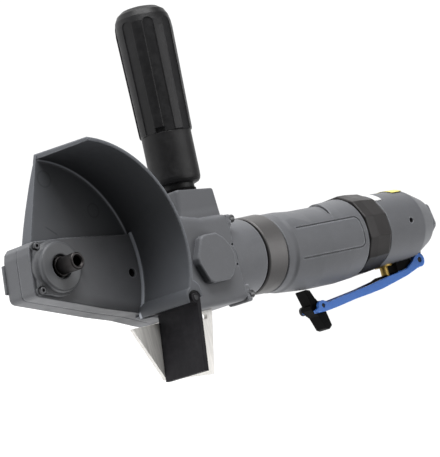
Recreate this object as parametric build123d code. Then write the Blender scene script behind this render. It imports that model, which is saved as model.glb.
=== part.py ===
from build123d import *
import math
import os

os.makedirs("parts", exist_ok=True)

# ---------------------------------------------------------------- driving dimensions (mm)
# The tool lies on its left side. X runs along the barrel to the rear, Y along the upright
# handle, Z along the spindle. The spindle axis is X = Y = 0, the resting plane is Z = 0.
BY, BZ = -12.8, 23.0            # barrel axis
JX = 87.2                       # jackshaft axis (parallel to Z, crosses the barrel axis)
ARM_Z0, ARM_SPLIT, ARM_Z1 = 1.0, 11.5, 22.0
HEAD_Z1 = 44.0
HEAD_X0, HEAD_X1 = 66.0, 106.0
HEAD_Y0, HEAD_Y1 = -36.8, 9.8
COVER_Z1 = 48.5
HOOD_C = (-1.3, -1.5)           # axis of the hood rim, beside the spindle
HOOD_RI, HOOD_RO = 59.5, 62.4   # rim radii at the back plate
HOOD_FI, HOOD_FO = 58.4, 60.5   # rim radii at the open front
HOOD_PLATE_Z0, HOOD_PLATE_Z1, HOOD_Z1 = 16.8, 19.0, 59.3
HOOD_A0, HOOD_A1 = -33.0, 79.8  # rim sector in degrees
RET_Z1, RET_R, RET_BORE = 28.5, 13.0, 6.3
NOSE_R, NOSE_Z1 = 4.5, 41.0
F1_X, F2_X, F4_X, F5_X = 128.8, 144.4, 208.9, 228.5
FLANGE_R, RING_R, GRIP_R, COLLAR_R, REAR_R = 20.75, 21.4, 22.5, 23.0, 20.9
GRIP_SECT = [(152.0, 22.2, -0.5), (172.0, GRIP_R, -1.6), (195.0, GRIP_R, -1.6), (207.9, 22.4, -0.8)]   # station, radius, axis shift
GRIP_TOP_R, GRIP_TOP_Y = 23.6, BY - 3.9   # flatter top in front of the step
GRIP_STEP = [(195.6, -40.0), (195.6, -5.0), (193.8, 0.0), (189.6, 10.9), (187.0, 18.5), (185.4, 24.0), (185.4, 40.0)]   # step line seen from above
COLLAR_N, COLLAR_A = 12, 13.0   # collar flats and the angle of the first corner
REAR_HEX = 12.5                 # rear hexagon, corner radius
TILT = 4.0                      # handle lean towards the rear
HND = (92.9, 25.8, 27.0)        # handle axis at the boss top
LEV_PIV = (260.5, -34.5)        # throttle pivot
LOCK_PIV = (173.9, -47.9)       # lock-off pivot on the throttle
LEV_Z0, LEV_Z1 = 15.5, 30.5     # throttle channel width
STEM_X, STEM_R = 237.5, 2.3
BAR = (53.6, -31.6)             # rod in the rolled hem of the flap
BAR_R, HEM_R, CHAN_R = 1.6, 2.75, 4.1
PINION_T, GEAR_T, MOD = 12, 36, 0.9
PULLEY_R, RIB_PITCH, RIB_D = 7.3, 2.4, 1.25   # ribbed belt drive: pulley land radius, rib pitch, groove depth


# ---------------------------------------------------------------- helpers
def pts_face(pts, z=0.0):
    return Face(Wire.make_polygon([Vector(x, y, z) for x, y in pts], close=True))


def prism(pts, z0, z1):
    return Solid.extrude(pts_face(pts, z0), Vector(0, 0, z1 - z0))


def box(x0, x1, y0, y1, z0, z1):
    return Solid.make_box(x1 - x0, y1 - y0, z1 - z0, Plane(origin=(x0, y0, z0)))


def cz(z0, z1, r, x=0.0, y=0.0):
    return Solid.make_cylinder(r, z1 - z0, Plane(origin=(x, y, z0), z_dir=(0, 0, 1)))


def cx(x0, x1, r, y=BY, z=BZ):
    return Solid.make_cylinder(r, x1 - x0, Plane(origin=(x0, y, z), z_dir=(1, 0, 0)))


def cy(y0, y1, r, x, z=BZ):
    return Solid.make_cylinder(r, y1 - y0, Plane(origin=(x, y0, z), z_dir=(0, 1, 0)))


def rev_x(prof, y=BY, z=BZ):
    # prof: (x, r) pairs turned about the barrel axis
    f = Face(Wire.make_polygon([Vector(px, y + pr, z) for px, pr in prof], close=True))
    return Solid.revolve(f, 360, Axis((0, y, z), (1, 0, 0)))


def rev_z(prof, x=0.0, y=0.0, z=0.0):
    # prof: (r, z) pairs turned about a vertical axis
    f = Face(Wire.make_polygon([Vector(x + pr, y, z + pz) for pr, pz in prof], close=True))
    return Solid.revolve(f, 360, Axis((x, y, 0), (0, 0, 1)))


def solids_of(shape):
    return list(shape.solids())


def cut(a, *tools):
    r = a
    for t in tools:
        r = r - t
    s = solids_of(r)
    return s[0] if len(s) == 1 else max(s, key=lambda q: q.volume)


def fuse(*shapes):
    r = shapes[0]
    for t in shapes[1:]:
        r = r + t
    s = solids_of(r)
    return s[0] if len(s) == 1 else max(s, key=lambda q: q.volume)


def soften(shape, edges, r):
    # rounds a set of edges, stepping the radius down if the full one does not fit
    for k in (1.0, 0.7, 0.45):
        try:
            s = shape.fillet(r * k, edges)
            if s.is_valid and s.volume > 0:
                return solids_of(s)[0]
        except Exception:
            continue
    return shape


def save(name, *items):
    flat = []
    for it in items:
        flat += solids_of(it)
    shape = flat[0] if len(flat) == 1 else Compound(children=flat)
    export_step(shape, "parts/%s.step" % name)


def polar(r, deg, x=0.0, y=0.0):
    return (x + r * math.cos(math.radians(deg)), y + r * math.sin(math.radians(deg)))


def arc_pts(r, a0, a1, n, x=0.0, y=0.0):
    return [polar(r, a0 + (a1 - a0) * i / n, x, y) for i in range(n + 1)]


# ---------------------------------------------------------------- gear housing
ARM = [(-9.6, 15.6), (-12.2, 13.4), (-13.5, 9.8), (-16.2, -9.4), (-15.6, -11.4), (-14.0, -12.4), (29.5, -25.5), (46.2, -29.9), (60.3, -35.0), (66.0, HEAD_Y0),
       (HEAD_X1, HEAD_Y0), (HEAD_X1, HEAD_Y1), (66.0, HEAD_Y1), (50.8, 11.0), (11.7, 14.7)]
CAV_R0, CAV_R1 = 10.3, 17.0     # belt cavity: hull of a circle at the spindle and one at the jackshaft
COV_SC = [(71.0, 5.2), (95.0, 6.0), (72.0, -29.6), (95.0, -31.9), (28.0, -21.0), (8.0, -15.4)]


def belt_cavity(z0, z1):
    d = math.hypot(JX, BY)
    base = math.atan2(BY, JX)
    off = math.acos((CAV_R0 - CAV_R1) / d)
    t = []
    for sgn in (1, -1):
        a = base + sgn * off
        t.append(((CAV_R0 * math.cos(a), CAV_R0 * math.sin(a)), (JX + CAV_R1 * math.cos(a), BY + CAV_R1 * math.sin(a))))
    quad = prism([t[0][0], t[0][1], t[1][1], t[1][0]], z0, z1)
    return fuse(quad, cz(z0, z1, CAV_R0), cz(z0, z1, CAV_R1, JX, BY))


arm_front = prism(ARM, ARM_SPLIT, ARM_Z1)
arm_front = soften(arm_front, [e for e in arm_front.edges().filter_by(Axis.Z) if e.center().X < 0], 0.8)
arm_front = soften(arm_front, [e for e in arm_front.edges() if abs(e.center().Z - ARM_SPLIT) < 0.01 and e.center().X < 62], 0.5)
head = prism([(HEAD_X0, HEAD_Y0), (HEAD_X1, HEAD_Y0), (HEAD_X1, HEAD_Y1), (88.5, HEAD_Y1), (HEAD_X0, HEAD_Y1 + 4.6)], ARM_SPLIT, HEAD_Z1)
head = soften(head, [e for e in head.edges() if e.center().Z > HEAD_Z1 - 0.01 and e.center().X < HEAD_X1 - 0.01 or
                     (abs(e.center().X - HEAD_X0) < 0.01 and abs(e.tangent_at(0.5).Z) > 0.9)], 3.4)
head = soften(head, [e for e in head.edges() if e.center().X > HEAD_X1 - 0.01 and e.center().Z > HEAD_Z1 - 5], 0.9)
hd = Vector(math.sin(math.radians(TILT)), math.cos(math.radians(TILT)), 0)
boss_plane = Plane(origin=(HND[0] - hd.X * 18, HND[1] - hd.Y * 18, HND[2]), x_dir=(0, 0, 1), z_dir=(hd.X, hd.Y, 0))


def boss_section(off, w, d, r, shift):
    pl = boss_plane.offset(off)
    return (pl * Pos(0, shift) * RectangleRounded(w, d, r)).faces()[0]


boss = Solid.make_loft([boss_section(0, 28.0, 30.4, 2.0, -1.0).outer_wire(), boss_section(18, 25.6, 26.8, 2.0, 0.0).outer_wire()], True)
boss = soften(boss, [e for e in boss.edges() if (e.center() - Vector(*HND)).dot(hd) > -0.3], 1.3)
housing = fuse(arm_front, head, boss)
# belt cavity, gear chamber, bearing seats
housing = cut(housing, belt_cavity(ARM_SPLIT - 1, 19.0), cz(ARM_SPLIT - 1, 36.6, CAV_R1, JX, BY), cz(36, HEAD_Z1 + 1, 9.5, JX, BY))
housing = cut(housing, cx(JX, HEAD_X1 + 1, 11.4))
housing = cut(housing, cz(18, ARM_Z1 + 1, 10.0), cz(19.8, ARM_Z1 + 1, 11.0))
for bx, by in COV_SC:
    housing = cut(housing, cz(ARM_SPLIT - 1, 19.2, 1.5, bx, by))
FL_SCREWS = [(6.7, 41.6), (-34.3, 41.8), (6.7, 4.6), (-34.3, 4.6)]
FL_SCREW_R = 1.25
for fy, fz in FL_SCREWS:
    if fz > ARM_SPLIT:
        housing = cut(housing, cx(98.4, HEAD_X1 + 1, FL_SCREW_R, fy, fz))
# handle stud hole along the leaning axis
stud_pl = Plane(origin=(HND[0] - hd.X * 14, HND[1] - hd.Y * 14, HND[2]), z_dir=(hd.X, hd.Y, 0))
housing = cut(housing, Solid.make_cylinder(5.0, 20, stud_pl))
# lip behind the hood's back plate, retainer screw holes, one fixing hole in the arm face
LIP = [(-4.2, 15.0), (-0.1, 24.6), (53.6, 19.4), (53.6, 10.0)]
HOOD_SC = [(2.6, 20.4), (26.0, 18.4), (48.5, 16.2)]
lip = cut(prism(LIP, ARM_SPLIT, HOOD_PLATE_Z0), belt_cavity(5, 19))
housing = fuse(housing, lip)
for ex, ey in HOOD_SC:
    housing = cut(housing, cz(ARM_SPLIT - 1, HOOD_PLATE_Z0 + 1, 1.5, ex, ey))
RET_SC = [(-9.9, 12.8), (-13.1, -9.7), (16.0, 0.0)]
for sx, sy in RET_SC:
    housing = cut(housing, cz(18.6, ARM_Z1 + 1, 1.25, sx, sy))
PLUG = (51.0, -9.3)
housing = cut(housing, cz(19.4, ARM_Z1 + 1, 2.3, *PLUG))
# bracket screw holes in the head's underside, two fine holes near the head's rear edge, cover spigot bore
BR_SC = [(70.0, 18.0), (78.0, 18.0)]
for sx, sz in BR_SC:
    housing = cut(housing, cy(HEAD_Y0 - 1, HEAD_Y0 + 4.5, 2.0, sx, sz))
for hy in (-7.0, -17.7):
    housing = cut(housing, cz(HEAD_Z1 - 2.0, HEAD_Z1 + 1, 0.75, 104.6, hy))
save("gear_housing", housing)
plug = cut(cz(19.4, 20.6, 2.3, *PLUG), prism(arc_pts(1.2, 0, 300, 5, *PLUG), 19.9, 21.0))
save("arm_plug", plug)

# ---------------------------------------------------------------- arm back cover
back = prism(ARM, ARM_Z0, ARM_SPLIT)
back = soften(back, [e for e in back.edges().filter_by(Axis.Z) if e.center().X < 0], 0.8)
back = soften(back, [e for e in back.edges() if e.center().Z < ARM_Z0 + 0.01], 1.0)
back = soften(back, [e for e in back.edges() if e.center().Z > ARM_SPLIT - 0.01 and e.center().X < 62], 0.5)
foot = prism([(-14.4, 8.6), (-16.7, -6.1), (-8.0, -7.6), (-6.0, 7.4)], 0.0, ARM_Z0 + 0.5)
foot = soften(foot, [e for e in foot.edges().filter_by(Axis.Z) if e.center().X < -10], 0.6)
back = fuse(back, cz(0.0, ARM_Z0 + 0.5, 12.0), cz(0.0, ARM_Z0 + 0.5, 14.0, JX, BY), foot)
back = cut(back, belt_cavity(5.0, ARM_SPLIT + 1))
back = cut(back, cz(1.8, 7, 8.0), cz(1.8, 7, 8.0, JX, BY))
for bx, by in COV_SC:
    back = cut(back, cz(-1, 5.2, 2.9, bx, by), cz(4, 13, 1.5, bx, by))
for fy, fz in FL_SCREWS:
    if fz < ARM_SPLIT:
        back = cut(back, cx(98.4, HEAD_X1 + 1, FL_SCREW_R, fy, fz))
save("back_cover", back)


def cap_screw_z(x, y, z_seat, up, r, head_r, head_h, length):
    # socket screw: the head lies on the far side of z_seat, the shank runs along 'up'
    if up > 0:
        s = fuse(cz(z_seat - head_h, z_seat, head_r, x, y), cz(z_seat - 0.01, z_seat + length, r, x, y))
        return cut(s, prism(arc_pts(head_r * 0.52, 0, 300, 5, x, y), z_seat - head_h - 1, z_seat - head_h * 0.45))
    s = fuse(cz(z_seat, z_seat + head_h, head_r, x, y), cz(z_seat - length, z_seat + 0.01, r, x, y))
    return cut(s, prism(arc_pts(head_r * 0.52, 0, 300, 5, x, y), z_seat + head_h * 0.45, z_seat + head_h + 1))


save("back_cover_screws", *[cap_screw_z(bx, by, 5.2, 1, 1.5, 2.75, 2.9, 14.0) for bx, by in COV_SC])

# ---------------------------------------------------------------- side cover (rounded hexagon plug)
hexc = [(74.2, -11.4), (79.4, -1.6), (82.6, -0.2), (90.6, -0.2), (95.4, -3.4), (98.7, -8.1), (100.0, -13.1), (98.7, -18.1), (95.4, -22.6), (92.4, -24.5), (81.2, -24.6), (78.4, -23.4), (74.4, -14.2)]
hexc = [(87.2 + 1.035 * (x - 87.2), -12.5 + 1.045 * (y + 12.5)) for x, y in hexc]
side = prism(hexc, HEAD_Z1, COVER_Z1)
side = soften(side, [e for e in side.edges().filter_by(Axis.Z)], 1.6)
side = soften(side, [e for e in side.edges() if e.center().Z > COVER_Z1 - 0.01], 0.9)
side = fuse(side, cz(43.1, HEAD_Z1 + 0.2, 9.5, JX, BY))
side = cut(side, cz(42.5, 45.4, 5.0, JX, BY))
save("side_cover", side)

# ---------------------------------------------------------------- guard hood
a0, a1 = HOOD_A0, HOOD_A1
rim_cyl = rev_z([(HOOD_RI, HOOD_PLATE_Z0), (HOOD_RO, HOOD_PLATE_Z0), (HOOD_FO, HOOD_Z1), (HOOD_FI, HOOD_Z1)], *HOOD_C)
sector = prism([(0, 0)] + arc_pts(90, a0, a1, 8), 0, 80)
rim = solids_of(rim_cyl & sector)[0]
pt = polar(HOOD_RO - 1.8, a1)
EDGE0, EDGE1 = (-8.05, 15.0), (9.3, 56.6)       # open left edge of the back plate
plate_region = prism([(-8.9, 13.0), (0, 0), (40, -6), polar(HOOD_RO + 3, 0), polar(HOOD_RO + 6, 20), polar(HOOD_RO + 8, 40),
                      polar(HOOD_RO + 8, 60), (pt[0] + 3.0, pt[1] + 4.0), pt, EDGE1], HOOD_PLATE_Z0, HOOD_PLATE_Z1)
plate = solids_of(cz(HOOD_PLATE_Z0, HOOD_PLATE_Z1, HOOD_RO - 0.15, *HOOD_C) & plate_region)[0]
# web along the open edge, deepening towards the arm
el = math.hypot(EDGE1[0] - EDGE0[0], EDGE1[1] - EDGE0[1])
eu = ((EDGE1[0] - EDGE0[0]) / el, (EDGE1[1] - EDGE0[1]) / el)
web_pts = [(0.0, ARM_SPLIT), (9.1, 11.8), (18.4, 12.6), (32.2, 14.5), (41.8, 16.4), (43.6, HOOD_PLATE_Z0 + 0.4), (0.0, HOOD_PLATE_Z0 + 0.4)]
web = Solid.extrude(Face(Wire.make_polygon([Vector(EDGE0[0] + eu[0] * q, EDGE0[1] + eu[1] * q, z) for q, z in web_pts], close=True)),
                    Vector(eu[1] * 3.0, -eu[0] * 3.0, 0))
# inner fillet bead between rim and plate
bead = rev_z([(HOOD_RI - 1.4, HOOD_PLATE_Z1 - 0.1), (HOOD_RI + 0.2, HOOD_PLATE_Z1 - 0.1), (HOOD_RI + 0.2, HOOD_PLATE_Z1 + 1.5)], *HOOD_C)
bead = solids_of(bead & prism([(0, 0)] + arc_pts(90, 6.0, a1, 8), 0, 80))[0]
# thick end of the rim with the channel that takes the flap's hem
AL = -28.0
lug = prism(arc_pts(HOOD_RI, a0, AL + 6.0, 8) + [polar(61.6, AL + 5.6), polar(64.0, AL + 4.4), polar(65.6, AL + 2.6), polar(66.2, AL), polar(62.0, a0)],
            ARM_Z1, HOOD_Z1)
chan = cz(ARM_Z1, HOOD_Z1, CHAN_R + 1.6, *BAR)
bead2 = rev_z([(HOOD_RI - 1.7, ARM_Z1), (HOOD_RI - 1.5, ARM_Z1 + 0.7), (HOOD_RI - 0.9, ARM_Z1 + 1.25), (HOOD_RI + 0.2, ARM_Z1 + 1.5), (HOOD_RI + 0.2, ARM_Z1)], *HOOD_C)
bead2 = solids_of(bead2 & prism([(0, 0)] + arc_pts(90, AL + 0.5, 11.5, 8), 0, 80))[0]
hood = fuse(rim, plate, web, bead, bead2, lug, chan)
arm_full = prism(ARM, ARM_SPLIT - 2, ARM_Z1)
hood = cut(hood, arm_full, box(HEAD_X0, 140, -60, 40, 0, HEAD_Z1 + 0.5), cz(10, 80, BAR_R, *BAR), cz(24.5, 80, CHAN_R, *BAR),
           box(30, 80, -50, -34.2, ARM_Z1 - 2, 80), box(BAR[0] - CHAN_R, 80, -50, BAR[1], 24.5, 80),
           box(30, 80, -50, -33.4, 24.5, 80))
for ex, ey in HOOD_SC:
    hood = cut(hood, cz(HOOD_PLATE_Z0 - 1, HOOD_PLATE_Z0 + 2.0, 1.5, ex, ey))
hood = soften(hood, [e for e in hood.edges() if e.center().Z > HOOD_Z1 - 0.01 and e.length > 40], 0.7)
save("guard_hood", hood)
save("hood_screws", *[cap_screw_z(ex, ey, ARM_SPLIT, 1, 1.5, 2.75, 2.6, HOOD_PLATE_Z0 + 2.0 - ARM_SPLIT) for ex, ey in HOOD_SC])

# ---------------------------------------------------------------- spindle retainer and its screws
ret = cz(ARM_Z1, RET_Z1, RET_R)
ret = soften(ret, [e for e in ret.edges() if e.center().Z > RET_Z1 - 0.01], 1.3)
base_ring = cz(ARM_Z1, 25.2, 14.5)
base_ring = soften(base_ring, [e for e in base_ring.edges() if e.center().Z > 25.1], 1.2)
base_pl = prism([(-11.0, 12.6), (-12.2, 9.4), (-14.8, -8.6), (-13.9, -11.0), (-4.0, -13.6), (0.0, 0.0), (-4.0, 13.6)], ARM_Z1, 24.6)
base_pl = soften(base_pl, [e for e in base_pl.edges() if e.center().Z > 24.5 and e.center().X < -11.3], 1.0)
ret = fuse(ret, base_ring, base_pl)
for lx, ly in RET_SC:
    ret = cut(ret, cz(ARM_Z1 + 1.2, RET_Z1 + 1, 2.3, lx, ly))
    ret = fuse(ret, cut(cz(ARM_Z1, ARM_Z1 + 1.2, 2.4, lx, ly), cz(20, 40, RET_R)))
ret = cut(ret, cz(ARM_Z1 - 1, 25.8, 11.0), cz(ARM_Z1 - 1, RET_Z1 + 1, RET_BORE))
for sx, sy in RET_SC:
    ret = cut(ret, cz(ARM_Z1 - 1, ARM_Z1 + 3, 1.25, sx, sy))
save("spindle_retainer", ret)
save("retainer_screws", *[cap_screw_z(sx, sy, ARM_Z1 + 1.2, -1, 1.25, 1.75, 2.2, 4.4) for sx, sy in RET_SC])

# ---------------------------------------------------------------- motor flange behind the head
flange = rev_x([(104.4, 9.5), (104.4, 11.4), (HEAD_X1, 11.4), (HEAD_X1, FLANGE_R), (F1_X - 0.6, FLANGE_R), (F1_X, FLANGE_R - 0.6),
                (F1_X, 18.5), (136.4, 18.5), (136.4, 13.0), (115.0, 13.0), (115.0, 4.6), (113.0, 4.6), (113.0, 9.5)])
EAR_T = 2.6
for fy, fz in FL_SCREWS:
    d = math.hypot(fy - BY, fz - BZ)
    uy, uz = (fy - BY) / d, (fz - BZ) / d
    q = [(BY + uy * 12 - uz * 6.5, BZ + uz * 12 + uy * 6.5), (fy - uz * 2.6, fz + uy * 2.6), (fy + uz * 2.6, fz - uy * 2.6), (BY + uy * 12 + uz * 6.5, BZ + uz * 12 - uy * 6.5)]
    ear = Solid.extrude(Face(Wire.make_polygon([Vector(HEAD_X1, a, b) for a, b in q], close=True)), Vector(EAR_T, 0, 0))
    ear = fuse(ear, cx(HEAD_X1, HEAD_X1 + EAR_T, 2.6, fy, fz))
    ear = cut(ear, box(100, 120, -60, 30, 43.4, 60), box(100, 120, -60, 30, -10, 2.2), cx(100, 120, 14.0))
    flange = fuse(flange, ear)
# foot of the flange below the head
ffoot = box(HEAD_X1, HEAD_X1 + 3.6, -38.0, -29.0, 28.3, 43.2)
ffoot = soften(ffoot, [e for e in ffoot.edges().filter_by(Axis.X) if e.center().Y < -37], 1.4)
ffoot = cut(ffoot, cx(HEAD_X1 + EAR_T, 120, 2.6, *FL_SCREWS[1]), cx(100, 120, 14.0))
flange = fuse(flange, ffoot)
for fy, fz in FL_SCREWS:
    flange = cut(flange, cx(HEAD_X1 - 1, HEAD_X1 + 4, FL_SCREW_R, fy, fz))
save("motor_flange", flange)


def cap_screw_x(y, z, x_seat, r, head_r, head_h, length):
    s = fuse(cx(x_seat, x_seat + head_h, head_r, y, z), cx(x_seat - length, x_seat + 0.01, r, y, z))
    hexpts = [(y + head_r * 0.52 * math.cos(math.radians(60 * i)), z + head_r * 0.52 * math.sin(math.radians(60 * i))) for i in range(6)]
    f = Face(Wire.make_polygon([Vector(x_seat + head_h * 0.45, a, b) for a, b in hexpts], close=True))
    return cut(s, Solid.extrude(f, Vector(head_h, 0, 0)))


save("flange_screws", *[cap_screw_x(fy, fz, HEAD_X1 + EAR_T, FL_SCREW_R, 2.15, 2.9, 10.0) for fy, fz in FL_SCREWS])

# ---------------------------------------------------------------- barrel shells
ring = rev_x([(F1_X + 1.3, 18.5), (F1_X + 1.3, RING_R - 0.9), (F1_X + 1.9, RING_R - 0.3), (143.5, RING_R), (144.1, RING_R - 0.5), (144.1, 18.5)])
save("lock_ring", ring)

def grip_loft(inset):
    return Solid.make_loft([Wire.make_circle(r - inset, Plane(origin=(x, BY + off, BZ), x_dir=(0, 1, 0), z_dir=(1, 0, 0))) for x, r, off in GRIP_SECT], True)


grip = fuse(grip_loft(0.0),
            rev_x([(F2_X + 0.1, 0), (F2_X + 0.1, 20.8), (144.9, 21.2), (149.4, 21.3), (150.3, 21.5), (151.2, 21.9), (152.0, 22.2), (152.0, 0)], BY - 0.5),
            rev_x([(207.9, 0), (207.9, 22.4), (F4_X - 0.3, 21.9), (F4_X - 0.3, 0)], BY - 0.8))
# flatter top in front of a slanting step
front_cut = Solid.extrude(Face(Wire.make_polygon([Vector(x, BY, BZ + z) for x, z in [(140, -40)] + GRIP_STEP + [(140, 40)]], close=True)), Vector(0, 40, 0))
flat = rev_x([(130, 0), (130, GRIP_TOP_R + 0.9), (158, GRIP_TOP_R + 0.9), (170, GRIP_TOP_R), (210, GRIP_TOP_R), (210, 0)], GRIP_TOP_Y)
for g in solids_of(front_cut - flat):
    grip = cut(grip, g)
grip = fuse(grip, cx(136.6, F2_X + 1.0, 18.5))
grip = cut(grip, cx(130, 142.0, 15.0), cx(140, 148, 10.0), cx(147.2, 220, 18.0))
# shallow panel on the side that faces up, a short groove along the step
panel = box(150.0, 205.0, BY - 9.4, BY + 8.4, BZ + 15, BZ + 30)
panel = soften(panel, [e for e in panel.edges().filter_by(Axis.Z)], 3.6)
inner = box(149.0, 204.2, BY - 8.6, BY + 7.6, BZ + 14, BZ + 31)
inner = soften(inner, [e for e in inner.edges().filter_by(Axis.Z)], 2.8)
groove = cut(panel, inner, box(140, 155.0, BY - 12, BY + 12, BZ, BZ + 40))
for g in solids_of(groove - grip_loft(0.45)):
    grip = cut(grip, g)
strip = [(x - 0.8, z) for x, z in GRIP_STEP[2:5]] + [(x + 0.2, z) for x, z in reversed(GRIP_STEP[2:5])]
strip = Solid.extrude(Face(Wire.make_polygon([Vector(x, BY + 12.8, BZ + z) for x, z in strip], close=True)), Vector(0, 20, 0))
for g in solids_of(strip - grip_loft(1.7)):
    grip = cut(grip, g)
save("grip_housing", grip)

def collar_ring(x, r):
    ang = [math.radians(COLLAR_A + 360.0 / COLLAR_N * k) for k in range(COLLAR_N)]
    return Wire.make_polygon([Vector(x, BY + r * math.cos(q), BZ + r * math.sin(q)) for q in ang], close=True)


collar = Solid.make_loft([collar_ring(F4_X + 0.5, COLLAR_R - 0.3), collar_ring(F4_X + 1.0, COLLAR_R + 0.1), collar_ring(216.0, COLLAR_R + 0.1),
                          collar_ring(226.8, 22.2), collar_ring(F5_X - 0.2, 21.5)], True)
collar = cut(collar, cx(F4_X, 226.6, 20.0), cx(F4_X, F5_X + 1, 18.0))
save("exhaust_collar", collar)
felt = rev_x([(210.2, 18.0), (210.2, 20.0), (226.6, 20.0), (226.6, 18.0)])
save("exhaust_felt", felt)

rear = rev_x([(203.2, 12.5), (203.2, 18.0), (F5_X, 18.0), (F5_X, REAR_R - 0.6), (229.1, REAR_R), (258.6, REAR_R - 0.4), (260.2, REAR_R - 1.0), (272.4, 14.8), (273.2, 13.8),
              (273.2, 9.0), (260.0, 9.0), (260.0, 3.2), (225.0, 3.2), (225.0, 12.5)])
hex_end = Solid.extrude(Face(Wire.make_polygon([Vector(272.0, *polar(REAR_HEX, 110 + 60 * i, BY, BZ)) for i in range(6)], close=True)), Vector(6.0, 0, 0))
hex_end = solids_of(hex_end & rev_x([(271, 0), (271, 16), (277.2, REAR_HEX + 0.2), (278.0, REAR_HEX - 0.6), (278.0, 0)]))[0]
rear = fuse(rear, cut(hex_end, cx(260, 290, 9.0)))
for i in range(8):
    a = 22.5 + 45 * i
    pl = Plane(origin=(218.4, BY + 11 * math.cos(math.radians(a)), BZ + 11 * math.sin(math.radians(a))), z_dir=(0, math.cos(math.radians(a)), math.sin(math.radians(a))))
    rear = cut(rear, Solid.make_cylinder(1.8, 8, pl))
lug_r = fuse(cz(18.2, 27.8, 4.2, *LEV_PIV), prism([(254.6, -30), (256.4, -35.5), (LEV_PIV[0] + 4.2, LEV_PIV[1]), (268.0, -26.0)], 18.2, 27.8))
lug_r = cut(lug_r, cx(240, 258.6, REAR_R - 1), cx(250, 272, 13.0))
rear = fuse(rear, lug_r)
rear = cut(rear, cz(14.8, 18.0, 4.8, *LEV_PIV), cz(28.0, 31.2, 4.8, *LEV_PIV))
rear = cut(rear, cz(10, 40, 1.6, *LEV_PIV), cy(-45, -7.0, 5.0, STEM_X), cz(BZ + 15, BZ + 30, 1.5, 247.6, BY))
save("rear_housing", rear)

bush_in = rev_x([(260.0, 5.72), (260.0, 9.0), (277.4, 9.0), (277.4, 8.0), (276.8, 6.9), (275.6, 5.72)])
save("inlet_bushing", bush_in)
pinhole = cz(BZ + 15, BZ + 18.2, 1.5, 247.6, BY)
save("housing_pin", pinhole)

# ---------------------------------------------------------------- vane motor
ECC = 1.5
front_plate = rev_x([(147.2, 9.5), (147.2, 18.0), (154.0, 18.0), (154.0, 4.2), (153.5, 4.2), (153.5, 9.5)])
save("front_end_plate", front_plate)
cyl = cut(cx(154.0, 196.0, 18.0), cx(150, 200, 15.0, BY + ECC, BZ))
for zz in (-5, 0, 5):
    cyl = cut(cyl, cy(BY + 14, BY + 20, 1.6, 175, BZ + zz), cy(BY + 14, BY + 20, 1.6, 168, BZ + zz), cy(BY + 14, BY + 20, 1.6, 182, BZ + zz))
save("motor_cylinder", cyl)
rear_plate = rev_x([(196.0, 4.2), (196.0, 18.0), (203.2, 18.0), (203.2, 9.5), (196.6, 9.5), (196.6, 4.2)])
save("rear_end_plate", rear_plate)
rotor = rev_x([(99.1, 0), (99.1, 2.0), (105.5, 2.0), (105.5, 3.0), (154.4, 3.0), (154.4, 13.0), (195.6, 13.0), (195.6, 3.0), (202.6, 3.0), (202.6, 0)])
vanes = []
for i in range(5):
    a = 90 + 72 * i
    slot = box(154.4, 195.6, -1.0, 1.0, 7.5, 14.0).moved(Location((0, 0, 0), (1, 0, 0), a)).moved(Location((0, BY, BZ)))
    vane = box(154.4, 195.6, -1.0, 1.0, 7.5, 13.1).moved(Location((0, 0, 0), (1, 0, 0), a)).moved(Location((0, BY, BZ)))
    rotor = cut(rotor, slot)
    vanes.append(vane)
save("rotor", rotor)
save("rotor_vanes", *vanes)


# ---------------------------------------------------------------- bevel pair
def bevel(teeth, mate, blank_prof, phase):
    # axis +Z, cone apex at the origin; straight tapered teeth on a turned blank
    rp = MOD * teeth / 2
    ra = MOD * mate / 2
    rho0 = math.hypot(rp, ra)
    sd, cd = rp / rho0, ra / rho0
    k = (rho0 - 5.0) / rho0
    add, ded, emb = 0.70, 0.90, 0.35
    half = 0.40 * math.pi * MOD / 2
    tan = math.tan(math.radians(20))

    def section(s):
        pr, pz = rho0 * s * sd, rho0 * s * cd
        rows = []
        for h, w in ((add, half - add * tan), (-ded - emb, half + ded * tan)):
            rr, zz = pr + h * s * cd, pz - h * s * sd
            rows.append((rr, zz, w * s))
        (r1, z1, w1), (r2, z2, w2) = rows
        return Wire.make_polygon([Vector(r1, -w1, z1), Vector(r1, w1, z1), Vector(r2, w2, z2), Vector(r2, -w2, z2)], close=True)

    tooth = Solid.make_loft([section(1.0), section(k)], True)
    blank = rev_z(blank_prof)
    copies = [tooth.moved(Location((0, 0, 0), (0, 0, 1), phase + 360 * i / teeth)) for i in range(teeth)]
    r = blank.fuse(*copies)
    s = solids_of(r)
    return max(s, key=lambda q: q.volume)


gear = bevel(GEAR_T, PINION_T, [(4.0, 4.0), (10.8, 4.25), (15.92, 6.25), (15.92, 9.6), (8.0, 9.6), (8.0, 13.4), (4.0, 13.4)], 180.0 / GEAR_T)
gear = gear.moved(Location((JX, BY, BZ)))
save("bevel_gear", gear)
pin_blank = [(2.0, 11.9), (3.28, 11.9), (4.546, 16.485), (4.546, 18.3), (2.0, 18.3)]
pinion = bevel(PINION_T, GEAR_T, pin_blank, 0.0)
# local +Z to world +X, local +X to world +Z
pinion = pinion.moved(Location(Plane(origin=(JX, BY, BZ), x_dir=(0, 0, 1), z_dir=(1, 0, 0))))
save("bevel_pinion", pinion)

# ---------------------------------------------------------------- shafts, pulleys, belt
jack = rev_z([(0, 2.2), (4.0, 2.2), (4.0, 43.4), (3.4, 44.0), (0, 44.0)], JX, BY)
save("jackshaft", jack)

BELT_I, BELT_O = PULLEY_R + 0.12, PULLEY_R + 1.45
BELT_Z0, BELT_Z1, BELT_ZM = 7.7, 16.3, 12.0
DIST = math.hypot(JX, BY)
LINE = math.degrees(math.atan2(BY, JX))


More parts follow.
